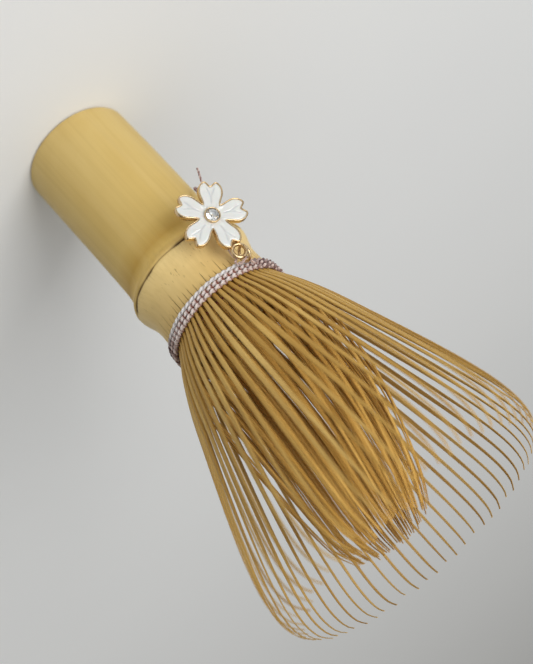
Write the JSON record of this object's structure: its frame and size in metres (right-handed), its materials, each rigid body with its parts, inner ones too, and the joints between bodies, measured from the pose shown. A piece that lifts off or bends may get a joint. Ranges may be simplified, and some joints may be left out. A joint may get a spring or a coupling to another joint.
{
  "type": "bamboo tea whisk",
  "caption": "Bamboo tea whisk with two rows of curved tines, a thread binding and a small enamelled blossom charm hung from a jump ring.",
  "frame": {"origin": "centre of the handle's flat cut end", "axes": "+Z along the handle's axis, towards the tine tips; -Y is the side the charm hangs on"},
  "size_m": [0.059, 0.059, 0.1145],
  "materials": {
    "bamboo_handle": "smooth scraped cane skin, satin",
    "bamboo_tines": "split and shaved cane, satin",
    "thread": "two-ply cotton thread, dyed white to pink to plum",
    "gold": "polished gold-coloured plating",
    "enamel": "glossy white enamel fill",
    "crystal": "clear faceted stone, foil-backed look"
  },
  "bodies": {
    "handle": {"handle": "bamboo_handle", "binding_thread": "thread", "spacer_thread": "thread", "charm_tie_thread": "thread", "charm_thread_end": "thread"},
    "outer_tines_01": {"outer_tines_01": "bamboo_tines"},
    "outer_tines_02": {"outer_tines_02": "bamboo_tines"},
    "outer_tines_03": {"outer_tines_03": "bamboo_tines"},
    "outer_tines_04": {"outer_tines_04": "bamboo_tines"},
    "outer_tines_05": {"outer_tines_05": "bamboo_tines"},
    "outer_tines_06": {"outer_tines_06": "bamboo_tines"},
    "outer_tines_07": {"outer_tines_07": "bamboo_tines"},
    "outer_tines_08": {"outer_tines_08": "bamboo_tines"},
    "outer_tines_09": {"outer_tines_09": "bamboo_tines"},
    "outer_tines_10": {"outer_tines_10": "bamboo_tines"},
    "outer_tines_11": {"outer_tines_11": "bamboo_tines"},
    "outer_tines_12": {"outer_tines_12": "bamboo_tines"},
    "outer_tines_13": {"outer_tines_13": "bamboo_tines"},
    "outer_tines_14": {"outer_tines_14": "bamboo_tines"},
    "outer_tines_15": {"outer_tines_15": "bamboo_tines"},
    "outer_tines_16": {"outer_tines_16": "bamboo_tines"},
    "inner_tines_01": {"inner_tines_01": "bamboo_tines"},
    "inner_tines_02": {"inner_tines_02": "bamboo_tines"},
    "inner_tines_03": {"inner_tines_03": "bamboo_tines"},
    "inner_tines_04": {"inner_tines_04": "bamboo_tines"},
    "inner_tines_05": {"inner_tines_05": "bamboo_tines"},
    "inner_tines_06": {"inner_tines_06": "bamboo_tines"},
    "inner_tines_07": {"inner_tines_07": "bamboo_tines"},
    "inner_tines_08": {"inner_tines_08": "bamboo_tines"},
    "inner_tines_09": {"inner_tines_09": "bamboo_tines"},
    "inner_tines_10": {"inner_tines_10": "bamboo_tines"},
    "inner_tines_11": {"inner_tines_11": "bamboo_tines"},
    "inner_tines_12": {"inner_tines_12": "bamboo_tines"},
    "inner_tines_13": {"inner_tines_13": "bamboo_tines"},
    "inner_tines_14": {"inner_tines_14": "bamboo_tines"},
    "inner_tines_15": {"inner_tines_15": "bamboo_tines"},
    "inner_tines_16": {"inner_tines_16": "bamboo_tines"},
    "jump_ring": {"jump_ring": "gold"},
    "charm": {"charm_base": "gold", "charm_enamel": "enamel", "charm_crystal": "crystal"}
  },
  "joints": [
    {"name": "jump_ring_swing", "type": "hinge", "parent": "handle", "child": "jump_ring", "pos_m": [0, -0.01595, 0.05395], "axis": [-1, 0, 0], "range_deg": [0, 40]},
    {"name": "charm_swing", "type": "hinge", "parent": "jump_ring", "child": "charm", "pos_m": [0, -0.01625, 0.0532], "axis": [-1, 0, 0], "range_deg": [-12, 80]},
    {"name": "outer_flex_01", "type": "hinge", "parent": "handle", "child": "outer_tines_01", "pos_m": [0.00247, -0.01241, 0.0539], "axis": [0.9808, 0.1951, 0], "range_deg": [-5, 4], "stiffness_Nm_per_rad": 0.01},
    {"name": "outer_flex_02", "type": "hinge", "parent": "handle", "child": "outer_tines_02", "pos_m": [0.00703, -0.01052, 0.0539], "axis": [0.8315, 0.5556, 0], "range_deg": [-5, 4], "stiffness_Nm_per_rad": 0.01},
    {"name": "outer_flex_03", "type": "hinge", "parent": "handle", "child": "outer_tines_03", "pos_m": [0.01052, -0.00703, 0.0539], "axis": [0.5556, 0.8315, 0], "range_deg": [-5, 4], "stiffness_Nm_per_rad": 0.01},
    {"name": "outer_flex_04", "type": "hinge", "parent": "handle", "child": "outer_tines_04", "pos_m": [0.01241, -0.00247, 0.0539], "axis": [0.1951, 0.9808, 0], "range_deg": [-5, 4], "stiffness_Nm_per_rad": 0.01},
    {"name": "outer_flex_05", "type": "hinge", "parent": "handle", "child": "outer_tines_05", "pos_m": [0.01241, 0.00247, 0.0539], "axis": [-0.1951, 0.9808, 0], "range_deg": [-5, 4], "stiffness_Nm_per_rad": 0.01},
    {"name": "outer_flex_06", "type": "hinge", "parent": "handle", "child": "outer_tines_06", "pos_m": [0.01052, 0.00703, 0.0539], "axis": [-0.5556, 0.8315, 0], "range_deg": [-5, 4], "stiffness_Nm_per_rad": 0.01},
    {"name": "outer_flex_07", "type": "hinge", "parent": "handle", "child": "outer_tines_07", "pos_m": [0.00703, 0.01052, 0.0539], "axis": [-0.8315, 0.5556, 0], "range_deg": [-5, 4], "stiffness_Nm_per_rad": 0.01},
    {"name": "outer_flex_08", "type": "hinge", "parent": "handle", "child": "outer_tines_08", "pos_m": [0.00247, 0.01241, 0.0539], "axis": [-0.9808, 0.1951, 0], "range_deg": [-5, 4], "stiffness_Nm_per_rad": 0.01},
    {"name": "outer_flex_09", "type": "hinge", "parent": "handle", "child": "outer_tines_09", "pos_m": [-0.00247, 0.01241, 0.0539], "axis": [-0.9808, -0.1951, 0], "range_deg": [-5, 4], "stiffness_Nm_per_rad": 0.01},
    {"name": "outer_flex_10", "type": "hinge", "parent": "handle", "child": "outer_tines_10", "pos_m": [-0.00703, 0.01052, 0.0539], "axis": [-0.8315, -0.5556, 0], "range_deg": [-5, 4], "stiffness_Nm_per_rad": 0.01},
    {"name": "outer_flex_11", "type": "hinge", "parent": "handle", "child": "outer_tines_11", "pos_m": [-0.01052, 0.00703, 0.0539], "axis": [-0.5556, -0.8315, 0], "range_deg": [-5, 4], "stiffness_Nm_per_rad": 0.01},
    {"name": "outer_flex_12", "type": "hinge", "parent": "handle", "child": "outer_tines_12", "pos_m": [-0.01241, 0.00247, 0.0539], "axis": [-0.1951, -0.9808, 0], "range_deg": [-5, 4], "stiffness_Nm_per_rad": 0.01},
    {"name": "outer_flex_13", "type": "hinge", "parent": "handle", "child": "outer_tines_13", "pos_m": [-0.01241, -0.00247, 0.0539], "axis": [0.1951, -0.9808, 0], "range_deg": [-5, 4], "stiffness_Nm_per_rad": 0.01},
    {"name": "outer_flex_14", "type": "hinge", "parent": "handle", "child": "outer_tines_14", "pos_m": [-0.01052, -0.00703, 0.0539], "axis": [0.5556, -0.8315, 0], "range_deg": [-5, 4], "stiffness_Nm_per_rad": 0.01},
    {"name": "outer_flex_15", "type": "hinge", "parent": "handle", "child": "outer_tines_15", "pos_m": [-0.00703, -0.01052, 0.0539], "axis": [0.8315, -0.5556, 0], "range_deg": [-5, 4], "stiffness_Nm_per_rad": 0.01},
    {"name": "outer_flex_16", "type": "hinge", "parent": "handle", "child": "outer_tines_16", "pos_m": [-0.00247, -0.01241, 0.0539], "axis": [0.9808, -0.1951, 0], "range_deg": [-5, 4], "stiffness_Nm_per_rad": 0.01},
    {"name": "inner_flex_01", "type": "hinge", "parent": "handle", "child": "inner_tines_01", "pos_m": [0.00227, -0.0114, 0.0539], "axis": [0.9808, 0.1951, 0], "range_deg": [-1, 5], "stiffness_Nm_per_rad": 0.01},
    {"name": "inner_flex_02", "type": "hinge", "parent": "handle", "child": "inner_tines_02", "pos_m": [0.00646, -0.00967, 0.0539], "axis": [0.8315, 0.5556, 0], "range_deg": [-1, 5], "stiffness_Nm_per_rad": 0.01},
    {"name": "inner_flex_03", "type": "hinge", "parent": "handle", "child": "inner_tines_03", "pos_m": [0.00967, -0.00646, 0.0539], "axis": [0.5556, 0.8315, 0], "range_deg": [-1, 5], "stiffness_Nm_per_rad": 0.01},
    {"name": "inner_flex_04", "type": "hinge", "parent": "handle", "child": "inner_tines_04", "pos_m": [0.0114, -0.00227, 0.0539], "axis": [0.1951, 0.9808, 0], "range_deg": [-1, 5], "stiffness_Nm_per_rad": 0.01},
    {"name": "inner_flex_05", "type": "hinge", "parent": "handle", "child": "inner_tines_05", "pos_m": [0.0114, 0.00227, 0.0539], "axis": [-0.1951, 0.9808, 0], "range_deg": [-1, 5], "stiffness_Nm_per_rad": 0.01},
    {"name": "inner_flex_06", "type": "hinge", "parent": "handle", "child": "inner_tines_06", "pos_m": [0.00967, 0.00646, 0.0539], "axis": [-0.5556, 0.8315, 0], "range_deg": [-1, 5], "stiffness_Nm_per_rad": 0.01},
    {"name": "inner_flex_07", "type": "hinge", "parent": "handle", "child": "inner_tines_07", "pos_m": [0.00646, 0.00967, 0.0539], "axis": [-0.8315, 0.5556, 0], "range_deg": [-1, 5], "stiffness_Nm_per_rad": 0.01},
    {"name": "inner_flex_08", "type": "hinge", "parent": "handle", "child": "inner_tines_08", "pos_m": [0.00227, 0.0114, 0.0539], "axis": [-0.9808, 0.1951, 0], "range_deg": [-1, 5], "stiffness_Nm_per_rad": 0.01},
    {"name": "inner_flex_09", "type": "hinge", "parent": "handle", "child": "inner_tines_09", "pos_m": [-0.00227, 0.0114, 0.0539], "axis": [-0.9808, -0.1951, 0], "range_deg": [-1, 5], "stiffness_Nm_per_rad": 0.01},
    {"name": "inner_flex_10", "type": "hinge", "parent": "handle", "child": "inner_tines_10", "pos_m": [-0.00646, 0.00967, 0.0539], "axis": [-0.8315, -0.5556, 0], "range_deg": [-1, 5], "stiffness_Nm_per_rad": 0.01},
    {"name": "inner_flex_11", "type": "hinge", "parent": "handle", "child": "inner_tines_11", "pos_m": [-0.00967, 0.00646, 0.0539], "axis": [-0.5556, -0.8315, 0], "range_deg": [-1, 5], "stiffness_Nm_per_rad": 0.01},
    {"name": "inner_flex_12", "type": "hinge", "parent": "handle", "child": "inner_tines_12", "pos_m": [-0.0114, 0.00227, 0.0539], "axis": [-0.1951, -0.9808, 0], "range_deg": [-1, 5], "stiffness_Nm_per_rad": 0.01},
    {"name": "inner_flex_13", "type": "hinge", "parent": "handle", "child": "inner_tines_13", "pos_m": [-0.0114, -0.00227, 0.0539], "axis": [0.1951, -0.9808, 0], "range_deg": [-1, 5], "stiffness_Nm_per_rad": 0.01},
    {"name": "inner_flex_14", "type": "hinge", "parent": "handle", "child": "inner_tines_14", "pos_m": [-0.00967, -0.00646, 0.0539], "axis": [0.5556, -0.8315, 0], "range_deg": [-1, 5], "stiffness_Nm_per_rad": 0.01},
    {"name": "inner_flex_15", "type": "hinge", "parent": "handle", "child": "inner_tines_15", "pos_m": [-0.00646, -0.00967, 0.0539], "axis": [0.8315, -0.5556, 0], "range_deg": [-1, 5], "stiffness_Nm_per_rad": 0.01},
    {"name": "inner_flex_16", "type": "hinge", "parent": "handle", "child": "inner_tines_16", "pos_m": [-0.00227, -0.0114, 0.0539], "axis": [0.9808, -0.1951, 0], "range_deg": [-1, 5], "stiffness_Nm_per_rad": 0.01}
  ]
}
